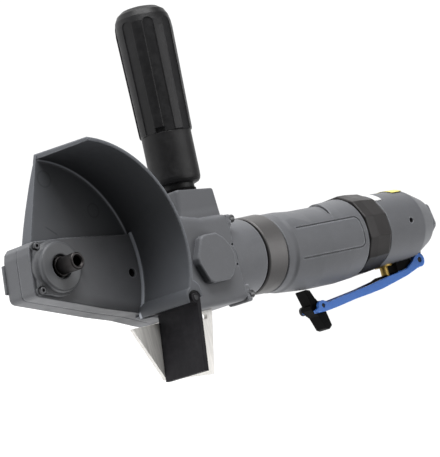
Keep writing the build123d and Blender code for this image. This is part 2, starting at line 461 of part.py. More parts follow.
def rib_line(r, w0, w1, depth, z0, z1):
    # (radius, z) points up the side of the pulley or belt, with three V grooves
    pts = [(r, z0)]
    for k in (-1, 0, 1):
        c = BELT_ZM + RIB_PITCH * k
        pts += [(r, c - w0), (r - depth, c - w1), (r - depth, c + w1), (r, c + w0)]
    return pts + [(r, z1)]


def pulley(x, y):
    side = rib_line(PULLEY_R, 0.92, 0.36, RIB_D, 7.1, 16.9)
    body = rev_z([(4.0, 6.3), (PULLEY_R + 2.1, 6.3), (PULLEY_R + 2.1, 6.9), (PULLEY_R, 7.1)] + side[1:-1]
                 + [(PULLEY_R, 16.9), (PULLEY_R + 2.1, 17.1), (PULLEY_R + 2.1, 17.4), (4.0, 17.4)], x, y)
    return body


save("spindle_pulley", pulley(0, 0))
save("jackshaft_pulley", pulley(JX, BY))


def belt_loop():
    # flat band with three ribs inside: half wraps at both pulleys, straight runs between, in a local frame along +X
    side = rib_line(BELT_I, 0.72, 0.22, 1.05, BELT_Z0 - 1, BELT_Z1 + 1)
    inner = [rev_z([(0, BELT_Z0 - 1)] + side + [(0, BELT_Z1 + 1)], x, 0) for x in (0.0, DIST)]
    run = [(r, z) for r, z in side] + [(-r, z) for r, z in reversed(side)]
    f = Face(Wire.make_polygon([Vector(0, y, z) for y, z in run], close=True))
    inner.append(Solid.extrude(f, Vector(DIST, 0, 0)))
    outer = fuse(cz(BELT_Z0, BELT_Z1, BELT_O), cz(BELT_Z0, BELT_Z1, BELT_O, DIST, 0), box(0, DIST, -BELT_O, BELT_O, BELT_Z0, BELT_Z1))
    return cut(outer, fuse(*inner))


belt = belt_loop().moved(Location((0, 0, 0), (0, 0, 1), LINE))
save("drive_belt", belt)

sp = rev_z([(0, 2.2), (4.0, 2.2), (4.0, 17.4), (5.0, 17.4), (5.0, RET_Z1 + 0.3), (NOSE_R, RET_Z1 + 0.3), (NOSE_R, NOSE_Z1 - 0.5), (NOSE_R - 0.5, NOSE_Z1), (0, NOSE_Z1)])
sp = cut(sp, cz(NOSE_Z1 - 12, NOSE_Z1 + 1, 2.5), rev_z([(0, NOSE_Z1 + 0.01), (3.3, NOSE_Z1 + 0.01), (2.5, NOSE_Z1 - 0.8), (0, NOSE_Z1 - 0.8)]))
save("spindle", sp)
spacer = cut(cz(17.5, 19.6, 6.2), cz(17, 20, 5.0))
save("spindle_spacer", spacer)
jack_nut = cut(prism(arc_pts(6.4, 0, 300, 5, JX, BY), 17.4, 21.4), cz(10, 30, 4.0, JX, BY))
save("jackshaft_nut", jack_nut)


# sealed bearings: outer ring with shield, inner ring with a small gap
def ring_z(x, y, z0, z1, ri, ro):
    return cut(cz(z0, z1, ro, x, y), cz(z0 - 1, z1 + 1, ri, x, y))


def ring_x(x0, x1, ri, ro):
    return cut(cx(x0, x1, ro), cx(x0 - 1, x1 + 1, ri))


save("spindle_outer_rings", ring_z(0, 0, 19.8, 25.8, 6.9, 11.0), ring_z(0, 0, 1.8, 5.8, 5.6, 8.0))
save("spindle_inner_rings", ring_z(0, 0, 19.6, 25.6, 5.0, 6.5), ring_z(0, 0, 2.2, 6.2, 4.0, 5.2))
save("jackshaft_outer_rings", ring_z(JX, BY, 37.1, 43.1, 6.2, 9.5), ring_z(JX, BY, 1.8, 5.8, 5.6, 8.0))
save("jackshaft_inner_rings", ring_z(JX, BY, 36.4, 42.8, 4.0, 5.8), ring_z(JX, BY, 2.2, 6.2, 4.0, 5.2))
save("rotor_outer_rings", ring_x(107.0, 113.0, 5.0, 9.5), ring_x(147.5, 153.5, 5.0, 9.5), ring_x(196.6, 202.6, 5.0, 9.5))
save("rotor_inner_rings", ring_x(106.8, 112.8, 3.0, 4.6), ring_x(147.5, 153.5, 3.0, 4.6), ring_x(196.6, 202.6, 3.0, 4.6))

# ---------------------------------------------------------------- upright handle
def along(off, r0, length, r1=None):
    pl = Plane(origin=(HND[0] + hd.X * off, HND[1] + hd.Y * off, HND[2]), z_dir=(hd.X, hd.Y, 0))
    if r1 is None or abs(r1 - r0) < 1e-6:
        return Solid.make_cylinder(r0, length, pl)
    return Solid.make_cone(r0, r1, length, pl)


def rev_handle(prof):
    # prof: (r, distance along the handle)
    pl = Plane(origin=HND, x_dir=(0, 0, 1), z_dir=(hd.X, hd.Y, 0))
    f = Face(Wire.make_polygon([pl.from_local_coords(Vector(r, 0, t)) for r, t in prof], close=True))
    return Solid.revolve(f, 360, Axis(HND, (hd.X, hd.Y, 0)))


WASH_T, SEAM_T, TOP = 2.0, 32.4, 102.0        # washer thickness, sleeve to grip seam, crown height
GR0, GR1 = 14.2, 15.3                         # grip radius at the seam and at the top
save("handle_stud", fuse(along(-14, 5.0, 14.01), along(0, 5.0, 28.0)))
save("handle_washer", cut(along(0.0, 9.6, WASH_T), along(-1, 5.0, 5)))
sleeve = rev_handle([(5.0, WASH_T), (9.0, WASH_T), (9.0, 4.6), (10.4, 4.7), (11.9, 5.3), (12.8, 6.4), (13.2, 7.8), (13.3, 10.0), (13.3, SEAM_T), (5.0, SEAM_T)])
save("handle_sleeve", sleeve)
prof = [(0, SEAM_T), (13.3, SEAM_T), (14.0, SEAM_T + 0.4), (GR0, SEAM_T + 1.6), (GR1, 88.6), (15.05, 92.4), (14.3, 95.9), (12.7, 98.9), (9.8, 101.0), (5.6, TOP), (0, TOP)]
hgrip = rev_handle(prof)
FLUTES, FLUTE_W, FLUTE_D, FLUTE_A = 8, 5.9, 0.85, 11.8
slope = math.atan2(GR1 - GR0, 88.6 - SEAM_T - 1.6)
hpl = Plane(origin=HND, x_dir=(0, 0, 1), z_dir=(hd.X, hd.Y, 0))
for i in range(FLUTES):
    a = math.radians(360.0 / FLUTES * i + FLUTE_A)
    er = Vector(math.cos(a), math.sin(a), 0)
    et = Vector(-math.sin(a), math.cos(a), 0)
    gen = er * math.sin(slope) + Vector(0, 0, math.cos(slope))
    nor = er * math.cos(slope) - Vector(0, 0, math.sin(slope))
    base = er * GR0 + Vector(0, 0, SEAM_T + 1.6) - nor * FLUTE_D
    start = base - gen * 4.0

    def w(v):
        return hpl.from_local_coords(v)

    o = w(start)
    zd = w(start + nor) - o
    xd = w(start + et) - o
    fl = Plane(origin=o, x_dir=xd, z_dir=zd)
    length = 60.6
    slot = Solid.make_box(FLUTE_W, length, 4, Plane(origin=w(start - et * (FLUTE_W / 2)), x_dir=xd, z_dir=zd))
    tip = Solid.make_cylinder(FLUTE_W / 2, 4, Plane(origin=w(start + gen * length), x_dir=xd, z_dir=zd))
    hgrip = cut(hgrip, fuse(slot, tip))
# one moulding notch at the seam
na = math.radians(-54.5)
ne, nt = Vector(math.cos(na), math.sin(na), 0), Vector(-math.sin(na), math.cos(na), 0)
n0 = ne * 12.4 - nt * 2.6 + Vector(0, 0, SEAM_T - 1.0)
ncut = Solid.make_box(5.2, 3.4, 4, Plane(origin=hpl.from_local_coords(n0), x_dir=hpl.from_local_coords(nt) - hpl.from_local_coords(Vector(0, 0, 0)), z_dir=hpl.from_local_coords(ne) - hpl.from_local_coords(Vector(0, 0, 0))))
hgrip = cut(hgrip, ncut)
save("handle_grip", hgrip)

# ---------------------------------------------------------------- bar, bracket, flap
bar = cz(ARM_Z1, 60.3, BAR_R, *BAR)
bar = soften(bar, [e for e in bar.edges() if e.center().Z > 60.2], 0.4)
save("accelerator_bar", bar)
FL_A = math.radians(11.0)
fdir = (-math.sin(FL_A), -math.cos(FL_A))       # down along the flap
fnor = (math.cos(FL_A), -math.sin(FL_A))        # to the rear side of the flap
FL_T, FL_LEN = 2.4, 37.4


def fp(s, t):
    return (BAR[0] + fdir[0] * s + fnor[0] * t, BAR[1] + fdir[1] * s + fnor[1] * t)


flap = prism([fp(0.0, HEM_R - FL_T), fp(0.0, HEM_R), fp(FL_LEN, HEM_R), fp(FL_LEN, HEM_R - FL_T)], 29.8, 60.0)
flap = cut(fuse(flap, cz(29.8, 60.0, HEM_R, *BAR)), cz(0, 80, BAR_R, *BAR))
save("flap", flap)
brk = prism([(91.7, HEAD_Y0), (91.4, -39.0), (81.6, -69.9), (48.0, -67.3), (34.0, -38.2), (66.0, -38.2), (68.0, HEAD_Y0)], 27.2, 29.6)
brk = fuse(brk, box(66.0, 82.0, HEAD_Y0 - 2.5, HEAD_Y0, 10.0, 29.6))
for sx, sz in BR_SC:
    brk = cut(brk, cy(HEAD_Y0 - 4, HEAD_Y0 + 1, 2.0, sx, sz))
brk = cut(brk, cz(20, 40, 1.75, 85.6, -39.6))
save("bracket_plate", brk)


def cap_screw_y(x, z, y_seat, r, head_r, head_h, length):
    # head below y_seat, shank upwards
    s = fuse(cy(y_seat - head_h, y_seat, head_r, x, z), cy(y_seat - 0.01, y_seat + length, r, x, z))
    hexpts = [(x + head_r * 0.52 * math.cos(math.radians(60 * i)), z + head_r * 0.52 * math.sin(math.radians(60 * i))) for i in range(6)]
    f = Face(Wire.make_polygon([Vector(a, y_seat - head_h * 0.45, b) for a, b in hexpts], close=True))
    return cut(s, Solid.extrude(f, Vector(0, -head_h, 0)))


save("bracket_screws", *[cap_screw_y(sx, sz, HEAD_Y0 - 2.5, 2.0, 3.5, 3.0, 7.0) for sx, sz in BR_SC])

# ---------------------------------------------------------------- throttle lever and lock-off lever
upper = [(256.8, -32.4), (254.6, -34.6), (248.9, -37.7), (240.3, -39.1), (231.8, -39.9), (214.5, -42.5), (191.5, -45.0), (177.2, -46.8), (176.4, -45.6)]
lower = [(171.8, -45.4), (170.6, -46.6), (170.2, -48.6), (167.0, -49.6), (167.4, -51.2), (175.7, -51.2), (184.1, -50.4), (200.8, -48.3), (212.5, -47.3), (224.4, -46.0), (236.8, -43.7), (247.3, -41.7), (263.8, -37.0)]
LEV_W, LEV_FL = 2.0, 1.6        # wall and floor thickness
lever = fuse(prism(upper + lower, LEV_Z0, LEV_Z1), cz(LEV_Z0, LEV_Z1, 4.0, *LEV_PIV), cz(LEV_Z0, LEV_Z1, 3.0, *LOCK_PIV))
low_in = [(190.0, -60.0), (190.0, -49.6 + LEV_FL)] + [(x, y + LEV_FL) for x, y in lower[7:-1]] + [(255.0, -39.6 + LEV_FL), (255.0, -60.0)]
channel = prism([(280, -20), (150, -20), (150, -60)] + low_in + [(280, -60)], LEV_Z0 + LEV_W, LEV_Z1 - LEV_W)
lever = cut(lever, channel)
lever = fuse(cut(lever, box(160, 173.9, -53, -40, LEV_Z0 - 1, LEV_Z0 + LEV_W + 0.5)), cz(LEV_Z0, LEV_Z0 + LEV_W, 2.4, *LOCK_PIV))
lever = cut(lever, cz(0, 60, 1.66, *LEV_PIV), cz(0, 60, 1.3, *LOCK_PIV))
save("throttle_lever", lever)
save("throttle_pin", cz(16.0, 30.0, 1.6, *LEV_PIV))
save("lock_pin", fuse(cz(14.6, 30.0, 1.3, *LOCK_PIV), cz(13.7, 15.4, 2.5, *LOCK_PIV)))
pad = prism([(214.0, -47.12 + LEV_FL), (216.0, -43.6), (226.0, -41.0), (233.4, -38.8), (234.4, -39.4), (234.5, -41.1), (241.5, -41.1), (241.5, -42.75 + LEV_FL),
             (236.8, -43.7 + LEV_FL), (224.4, -46.0 + LEV_FL)], 18.2, 27.8)
save("lever_pad", pad)

lock_pts = [(166.4, -37.1), (170.2, -38.0), (172.4, -42.5), (174.9, -45.5), (177.3, -47.2), (178.6, -51.4), (180.3, -59.2), (177.6, -61.0), (175.2, -60.0), (172.2, -52.8),
            (169.4, -50.4), (167.6, -48.6), (167.5, -46.6), (168.9, -45.6)]
lock = prism(lock_pts, 19.2, 26.8)
lock = soften(lock, [e for e in lock.edges().filter_by(Axis.Z)], 0.6)
lock = fuse(lock, cz(18.2, 27.8, 3.2, *LOCK_PIV))
lock = cut(lock, cz(20.0, 26.0, 3.4, *LOCK_PIV), box(172.9, 190, -48.9, -40, 20.0, 26.0), cz(0, 60, 1.36, *LOCK_PIV))
save("lock_lever", lock)


def coil(x, y, z, axis, r, wire, pitch, turns):
    h = Edge.make_helix(pitch, pitch * turns, r)
    start = h @ 0
    tang = h % 0
    prof_w = Wire.make_circle(wire / 2, Plane(origin=start, z_dir=tang))
    s = Solid.sweep(Face(prof_w), Wire([h]))
    pl = Plane(origin=(x, y, z), z_dir=axis) if axis != (0, 0, 1) else Plane(origin=(x, y, z))
    return s.moved(Location(pl))


save("lock_spring", coil(LOCK_PIV[0], LOCK_PIV[1], 20.7, (0, 0, 1), 2.5, 0.8, 1.15, 4))

# ---------------------------------------------------------------- throttle valve
vb = cut(cy(-34.0, -24.0, 5.0, STEM_X), cy(-50, 0, STEM_R + 0.06, STEM_X))
save("valve_bushing", vb)
seat = cut(cy(-24.0, -22.2, 5.0, STEM_X), cy(-50, 0, 2.9, STEM_X))
save("valve_seat", seat)
stem = fuse(cy(-40.8, -19.8, STEM_R, STEM_X), cy(-22.1, -19.8, 4.1, STEM_X))
stem = soften(stem, [e for e in stem.edges() if e.center().Y < -40.7], 0.6)
save("valve_stem", stem)
save("valve_spring", coil(STEM_X, -19.2, BZ, (0, 1, 0), 3.4, 0.9, 2.3, 4.8))

# black block under the rear housing, behind the stem
vblk = prism([(243.2, -24.0), (243.2, -38.2), (247.3, -37.9), (254.4, -36.6), (256.0, -35.0), (256.0, -24.0)], 18.2, 27.8)
vblk = cut(vblk, rev_x([(229.1, 0), (229.1, REAR_R), (258.6, REAR_R - 0.4), (258.6, 0)]), rear)
save("valve_block", vblk)
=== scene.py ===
import math

import bpy
import bmesh
from mathutils import Matrix, Vector


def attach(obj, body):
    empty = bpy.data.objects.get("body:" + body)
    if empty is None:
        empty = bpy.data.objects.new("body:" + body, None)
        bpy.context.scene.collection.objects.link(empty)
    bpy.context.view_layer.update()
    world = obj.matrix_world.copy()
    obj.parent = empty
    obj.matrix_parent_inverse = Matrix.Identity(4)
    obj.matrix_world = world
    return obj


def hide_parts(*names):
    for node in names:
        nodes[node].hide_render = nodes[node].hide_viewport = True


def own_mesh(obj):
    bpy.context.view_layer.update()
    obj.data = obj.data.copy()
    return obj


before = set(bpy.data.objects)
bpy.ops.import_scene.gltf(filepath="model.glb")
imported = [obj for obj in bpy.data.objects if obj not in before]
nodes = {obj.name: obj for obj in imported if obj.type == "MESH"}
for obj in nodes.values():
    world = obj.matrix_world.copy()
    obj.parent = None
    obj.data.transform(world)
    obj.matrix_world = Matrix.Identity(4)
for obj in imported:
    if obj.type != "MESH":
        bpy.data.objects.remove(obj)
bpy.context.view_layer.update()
scene = bpy.context.scene

MM = 0.001
BY, BZ = -12.8, 23.0            # barrel axis, mm


# ---------------------------------------------------------------- node helpers
class G:
    def __init__(self, name):
        self.mat = bpy.data.materials.new(name)
        self.mat.use_nodes = True
        self.nt = self.mat.node_tree
        self.nt.nodes.clear()
        self.out = self.n("ShaderNodeOutputMaterial")
        self.b = self.n("ShaderNodeBsdfPrincipled")
        self.l(self.b.outputs[0], self.out.inputs[0])
        self.tc = self.n("ShaderNodeTexCoord")
        self.obj = self.tc.outputs["Object"]
        self._xyz = None

    def n(self, kind, **props):
        node = self.nt.nodes.new(kind)
        for k, v in props.items():
            setattr(node, k, v)
        return node

    def l(self, a, b):
        self.nt.links.new(a, b)

    def put(self, sock, v):
        if isinstance(v, bpy.types.NodeSocket):
            self.l(v, sock)
        else:
            sock.default_value = v

    def xyz(self):
        if self._xyz is None:
            s = self.n("ShaderNodeSeparateXYZ")
            self.l(self.obj, s.inputs[0])
            self._xyz = s.outputs
        return self._xyz

    def math(self, op, a, b=0.0, c=None, clamp=False):
        m = self.n("ShaderNodeMath", operation=op, use_clamp=clamp)
        self.put(m.inputs[0], a)
        self.put(m.inputs[1], b)
        if c is not None:
            self.put(m.inputs[2], c)
        return m.outputs[0]

    def noise(self, scale, detail=3.0, rough=0.55, distort=0.0, vec=None):
        t = self.n("ShaderNodeTexNoise")
        self.l(vec if vec is not None else self.obj, t.inputs["Vector"])
        t.inputs["Scale"].default_value = scale
        t.inputs["Detail"].default_value = detail
        t.inputs["Roughness"].default_value = rough
        t.inputs["Distortion"].default_value = distort
        return t.outputs[0]

    def line_noise(self, w, scale, detail=4.0):
        t = self.n("ShaderNodeTexNoise", noise_dimensions="1D")
        self.put(t.inputs["W"], w)
        t.inputs["Scale"].default_value = scale
        t.inputs["Detail"].default_value = detail
        return t.outputs[0]

    def voronoi(self, scale, feature="F1", vec=None):
        t = self.n("ShaderNodeTexVoronoi", feature=feature)
        self.l(vec if vec is not None else self.obj, t.inputs["Vector"])
        t.inputs["Scale"].default_value = scale
        return t.outputs["Distance"]

    def mapping(self, scale=(1, 1, 1), rot=(0, 0, 0), loc=(0, 0, 0)):
        m = self.n("ShaderNodeMapping")
        self.l(self.obj, m.inputs[0])
        m.inputs["Scale"].default_value = scale
        m.inputs["Rotation"].default_value = rot
        m.inputs["Location"].default_value = loc
        return m.outputs[0]

    def rng(self, v, a, b, c, d, clamp=True, smooth=False):
        m = self.n("ShaderNodeMapRange", clamp=clamp, interpolation_type="SMOOTHSTEP" if smooth else "LINEAR")
        self.put(m.inputs["Value"], v)
        for k, x in (("From Min", a), ("From Max", b), ("To Min", c), ("To Max", d)):
            m.inputs[k].default_value = x
        return m.outputs[0]

    def mix(self, fac, a, b, blend="MIX"):
        m = self.n("ShaderNodeMix", data_type="RGBA", blend_type=blend)
        self.put(m.inputs[0], fac)
        for sock, v in ((m.inputs[6], a), (m.inputs[7], b)):
            if isinstance(v, bpy.types.NodeSocket):
                self.l(v, sock)
            else:
                sock.default_value = (*v[:3], 1.0)
        return m.outputs[2]

    def edge(self, radius, samples=6):
        # 0 on faces, rising to 1 along rounded edges
        bev = self.n("ShaderNodeBevel", samples=samples)
        bev.inputs["Radius"].default_value = radius
        geo = self.n("ShaderNodeNewGeometry")
        dot = self.n("ShaderNodeVectorMath", operation="DOT_PRODUCT")
        self.l(bev.outputs[0], dot.inputs[0])
        self.l(geo.outputs["Normal"], dot.inputs[1])
        inv = self.math("SUBTRACT", 1.0, dot.outputs["Value"], clamp=True)
        return bev.outputs[0], self.rng(inv, 0.004, 0.10, 0.0, 1.0)

    def ao(self, dist, inside=False, samples=6):
        a = self.n("ShaderNodeAmbientOcclusion", inside=inside, samples=samples)
        a.inputs["Distance"].default_value = dist
        return a.outputs["AO"]

    def bump(self, height, strength, dist, normal=None, prev=None):
        b = self.n("ShaderNodeBump")
        b.inputs["Strength"].default_value = strength
        b.inputs["Distance"].default_value = dist
        self.l(height, b.inputs["Height"])
        if prev is not None:
            self.l(prev, b.inputs["Normal"])
        elif normal is not None:
            self.l(normal, b.inputs["Normal"])
        return b.outputs[0]

    def set(self, **kw):
        for k, v in kw.items():
            self.put(self.b.inputs[k.replace("_", " ")], v if isinstance(v, bpy.types.NodeSocket) or not isinstance(v, tuple) else (*v[:3], 1.0))
        return self.mat


def scale_c(c, k):
    return tuple(max(0.0, x * k) for x in c)


def coat(name, base, rough=0.46, var=0.10, edge_r=0.0009, edge_gain=1.35, edge_amt=0.5, peel=0.16, corner_shade=0.45, spec=0.45, marks=None, calm=None):
    """Satin powder coat: orange peel, faint mottling, light edges that are partly wear and partly painted highlight,
    painted shade in the corners.
    """
    g = G(name)
    big = g.noise(22.0, 3.0, 0.55, 0.4)
    mid = g.noise(160.0, 4.0, 0.6)
    tone = g.math("ADD", g.math("MULTIPLY", big, 0.6), g.math("MULTIPLY", mid, 0.4))
    col = g.mix(g.rng(tone, 0.32, 0.68, 0.0, 1.0), scale_c(base, 1.0 - var), scale_c(base, 1.0 + var))
    fine = g.noise(1500.0, 2.0, 0.5)
    col = g.mix(g.rng(fine, 0.58, 0.72, 0.0, 0.22), col, scale_c(base, 1.45))
    nrm, edge = g.edge(edge_r)
    if calm is not None:
        keep = calm(g)
        edge = g.math("MULTIPLY", edge, keep)
        flat = g.n("ShaderNodeNewGeometry")
        vm = g.n("ShaderNodeMix", data_type="VECTOR")
        g.l(keep, vm.inputs[0])
        g.l(flat.outputs["Normal"], vm.inputs[4])
        g.l(nrm, vm.inputs[5])
        nrm = vm.outputs[1]
    wear_and_highlight = g.math("MULTIPLY", edge, g.rng(g.noise(420.0, 4.0, 0.7), 0.30, 0.62, 0.25, 1.0))
    # light edges: partly wear, partly painted highlight
    col = g.mix(g.math("MULTIPLY", wear_and_highlight, edge_amt), col, scale_c(base, edge_gain))
    # darker in corners and creases by ambient occlusion: painted shade
    ao_shade = g.ao(0.004)
    col = g.mix(g.rng(ao_shade, 0.35, 0.95, corner_shade, 0.0), col, scale_c(base, 0.40))
    if marks is not None:
        col = marks(g, col, base)
    r = g.math("ADD", g.rng(mid, 0.3, 0.7, rough - 0.06, rough + 0.07), g.math("MULTIPLY", wear_and_highlight, -0.08))
    peel_h = g.noise(1250.0, 2.0, 0.45)
    n1 = g.bump(peel_h, peel, 0.00012, normal=nrm)
    n2 = g.bump(g.noise(320.0, 2.0, 0.5), 0.10, 0.0003, prev=n1)
    return g.set(Base_Color=col, Roughness=r, Normal=n2, Specular_IOR_Level=spec)


def polymer(name, base, rough=0.5, grain=900.0, bump=0.25, edge_gain=2.0, edge_amt=0.35, spec=0.4, var=0.18, dust=0.05, edge_r=0.0006):
    """Moulded black plastic or rubber: fine spark texture, slight bloom, light edges that are partly polish and partly
    painted highlight.
    """
    g = G(name)
    big = g.noise(35.0, 3.0, 0.6, 0.3)
    mid = g.noise(260.0, 4.0, 0.6)
    col = g.mix(g.rng(big, 0.3, 0.7, 0.0, 1.0), scale_c(base, 1.0 - var), scale_c(base, 1.0 + var))
    bloom = g.rng(g.math("MULTIPLY", mid, g.noise(70.0, 3.0)), 0.22, 0.42, 0.0, dust)
    col = g.mix(bloom, col, (0.16, 0.16, 0.165))
    nrm, edge = g.edge(edge_r)
    # light edges: partly polish, partly painted highlight
    col = g.mix(g.math("MULTIPLY", edge, edge_amt), col, scale_c(base, edge_gain))
    r = g.math("ADD", g.rng(mid, 0.3, 0.7, rough - 0.07, rough + 0.08), g.math("MULTIPLY", edge, -0.10))
    n1 = g.bump(g.voronoi(grain), bump, 0.00012, normal=nrm)
    n2 = g.bump(g.noise(grain * 0.4, 3.0, 0.6), bump * 0.5, 0.0002, prev=n1)
    return g.set(Base_Color=col, Roughness=r, Normal=n2, Specular_IOR_Level=spec)


def metal(name, base, rough=0.30, axis=None, scale=4200.0, bump=0.10, edge_gain=1.4, stain=0.25, aniso=0.0, edge_r=0.0004, metallic=1.0, streak=(1, 1, 1), marks=None):
    """Machined or rolled metal: tool lines round an axis or streaks, light edges that are partly wear and partly
    painted highlight, faint stains, painted shade in the corners.
    """
    g = G(name)
    x, y, z = g.xyz()
    if axis is None:
        lines = g.noise(900.0, 4.0, 0.6, vec=g.mapping(scale=streak))
    else:
        lines = g.line_noise({"X": x, "Y": y, "Z": z}[axis], scale, 3.0)
    blot = g.noise(60.0, 4.0, 0.65, 0.5)
    col = g.mix(g.rng(lines, 0.3, 0.7, 0.0, 1.0), scale_c(base, 0.84), scale_c(base, 1.14))
    col = g.mix(g.rng(blot, 0.45, 0.75, 0.0, stain), col, scale_c(base, 0.55))
    nrm, edge = g.edge(edge_r)
    # light edges: partly wear, partly painted highlight
    col = g.mix(g.math("MULTIPLY", edge, 0.55), col, scale_c(base, edge_gain))
    if marks is not None:
        col = marks(g, col, base)
    # darker in corners and creases by ambient occlusion: painted shade
    ao_shade = g.ao(0.0025)
    col = g.mix(g.rng(ao_shade, 0.3, 0.9, 0.5, 0.0), col, scale_c(base, 0.30))
    r = g.math("ADD", g.rng(blot, 0.3, 0.7, rough - 0.05, rough + 0.08), g.rng(lines, 0.3, 0.7, -0.03, 0.05))
    n1 = g.bump(lines, bump, 0.00006, normal=nrm)
    if aniso and axis is not None:
        tan = g.n("ShaderNodeTangent", direction_type="RADIAL", axis=axis)
        g.l(tan.outputs[0], g.b.inputs["Tangent"])
        g.b.inputs["Anisotropic"].default_value = aniso
    return g.set(Base_Color=col, Roughness=r, Normal=n1, Metallic=metallic)


def fibrous(name, base):
    g = G(name)
    f = g.noise(1800.0, 5.0, 0.7, 1.5)
    col = g.mix(g.rng(f, 0.3, 0.7, 0.0, 1.0), scale_c(base, 0.6), scale_c(base, 1.3))
    n1 = g.bump(f, 0.6, 0.0004)
    return g.set(Base_Color=col, Roughness=g.rng(f, 0.3, 0.7, 0.85, 1.0), Normal=n1, Sheen_Weight=0.3)


def laminate(name, base):
    g = G(name)
    w = g.noise(700.0, 3.0, 0.6, vec=g.mapping(scale=(0.08, 1.0, 1.0)))
    col = g.mix(g.rng(w, 0.3, 0.7, 0.0, 1.0), scale_c(base, 0.7), scale_c(base, 1.4))
    nrm, edge = g.edge(0.0003)
    col = g.mix(g.math("MULTIPLY", edge, 0.4), col, scale_c(base, 1.8))
    return g.set(Base_Color=col, Roughness=g.rng(w, 0.3, 0.7, 0.42, 0.6), Normal=g.bump(w, 0.2, 0.0001, normal=nrm))


def hood_shade_and_marks(g, col, base):
    """Painted shade inside the rim, heaviest on the inner face of the rim and towards the lower right, a painted
    highlight along the raised rib, faint round moulding marks and one short scratch on the back plate.
    """
    x, y, z = g.xyz()
    r = g.math("SQRT", g.math("ADD", g.math("MULTIPLY", x, x), g.math("MULTIPLY", y, y)))
    rx, ry = g.math("ADD", x, 0.0013), g.math("ADD", y, 0.0015)
    q = g.math("SQRT", g.math("ADD", g.math("MULTIPLY", rx, rx), g.math("MULTIPLY", ry, ry)))
    q = g.math("ADD", q, g.math("MULTIPLY", g.math("SUBTRACT", z, 0.0168), 0.0259))
    # painted shade inside the rim, deeper towards the rim and towards the upper side
    inner_shade = g.math("MULTIPLY", g.rng(q, 0.05956, 0.05980, 1.0, 0.0), g.rng(z, 0.0186, 0.0189, 0.0, 1.0))
    inner_shade = g.math("MULTIPLY", inner_shade, g.rng(y, -0.030, 0.002, 0.35, 1.0, smooth=True))
    inner_shade = g.math("MULTIPLY", inner_shade, g.rng(r, 0.018, 0.046, 0.55, 1.0, smooth=True))
    cloud = g.rng(g.noise(55.0, 4.0, 0.6, 0.6), 0.3, 0.7, 0.78, 1.0)
    col = g.mix(g.math("MULTIPLY", inner_shade, cloud), col, scale_c(base, 0.64))
    # painted shade on the inner face of the rim, heaviest at the upper side
    wall_shade = g.math("MULTIPLY", g.rng(q, 0.0590, 0.0593, 0.0, 1.0), g.math("MULTIPLY", inner_shade, g.rng(y, -0.012, 0.020, 0.0, 0.85, smooth=True)))
    col = g.mix(wall_shade, col, scale_c(base, 0.30))
    # painted shade on the lower right of the hood
    low_shade = g.math("MULTIPLY", g.rng(y, -0.0225, -0.0300, 0.0, 0.55, smooth=True), g.rng(x, 0.018, 0.040, 0.0, 1.0, smooth=True))
    col = g.mix(low_shade, col, scale_c(base, 0.62))
    # painted highlight along the raised rib
    bead_highlight = g.math("MULTIPLY", g.rng(q, 0.0572, 0.0577, 0.0, 1.0), g.rng(q, 0.0589, 0.0593, 1.0, 0.0))
    bead_highlight = g.math("MULTIPLY", bead_highlight, g.rng(z, 0.0191, 0.0195, 0.0, 1.0))
    bead_highlight = g.math("MULTIPLY", bead_highlight, g.rng(y, 0.016, -0.010, 0.72, 0.96, smooth=True))
    bead_highlight = g.math("MULTIPLY", bead_highlight, g.rng(z, 0.0235, 0.0238, 1.0, 0.0))
    col = g.mix(bead_highlight, col, scale_c(base, 4.0))
    for mx, my, rad in ((0.0114, 0.0463, 0.0042), (0.0385, 0.0262, 0.0036)):
        dx, dy = g.math("SUBTRACT", x, mx), g.math("SUBTRACT", y, my)
        d = g.math("SQRT", g.math("ADD", g.math("MULTIPLY", dx, dx), g.math("MULTIPLY", dy, dy)))
        ring = g.math("MULTIPLY", g.rng(d, rad - 0.0007, rad, 0.0, 1.0), g.rng(d, rad, rad + 0.0007, 1.0, 0.0))
        ring = g.math("MULTIPLY", ring, g.rng(z, 0.0186, 0.0189, 0.0, 0.38))
        col = g.mix(ring, col, scale_c(base, 0.22))
    t = g.math("ADD", g.math("MULTIPLY", g.math("SUBTRACT", x, 0.0075), 0.62), g.math("MULTIPLY", g.math("SUBTRACT", y, 0.0195), 0.785))
    u = g.math("ADD", g.math("MULTIPLY", g.math("SUBTRACT", x, 0.0075), 0.785), g.math("MULTIPLY", g.math("SUBTRACT", y, 0.0195), -0.62))
    line = g.math("MULTIPLY", g.rng(g.math("ABSOLUTE", t), 0.0002, 0.0006, 0.6, 0.0), g.rng(g.math("ABSOLUTE", u), 0.003, 0.005, 1.0, 0.0))
    line = g.math("MULTIPLY", line, g.rng(z, 0.0186, 0.0189, 0.0, 1.0))
    return g.mix(line, col, scale_c(base, 0.25))


def over_screws(g):
    """0 on the thin skin of the back plate over the blind screw holes, 1 elsewhere."""
    x, y, z = g.xyz()
    keep = None
    for mx, my in ((0.0026, 0.0204), (0.0260, 0.0184), (0.0485, 0.0162)):
        dx, dy = g.math("SUBTRACT", x, mx), g.math("SUBTRACT", y, my)
        d = g.math("SQRT", g.math("ADD", g.math("MULTIPLY", dx, dx), g.math("MULTIPLY", dy, dy)))
        k = g.rng(d, 0.0036, 0.0042, 0.0, 1.0)
        keep = k if keep is None else g.math("MULTIPLY", keep, k)
    return keep


def cover_shade(g, col, base):
    """Painted shade on the lower flanks of the side cover."""
    x, y, z = g.xyz()
    low_shade = g.math("MULTIPLY", g.rng(y, -0.0130, -0.0152, 0.0, 0.8), g.rng(z, 0.0474, 0.0480, 1.0, 0.0))
    return g.mix(low_shade, col, scale_c(base, 0.35))


def ring_underside_shade(g, col, base):
    """Painted shade on the lower half of the turned ring."""
    x, y, z = g.xyz()
    return g.mix(g.rng(y, -0.0200, -0.0335, 0.0, 0.7, smooth=True), col, scale_c(base, 0.45))


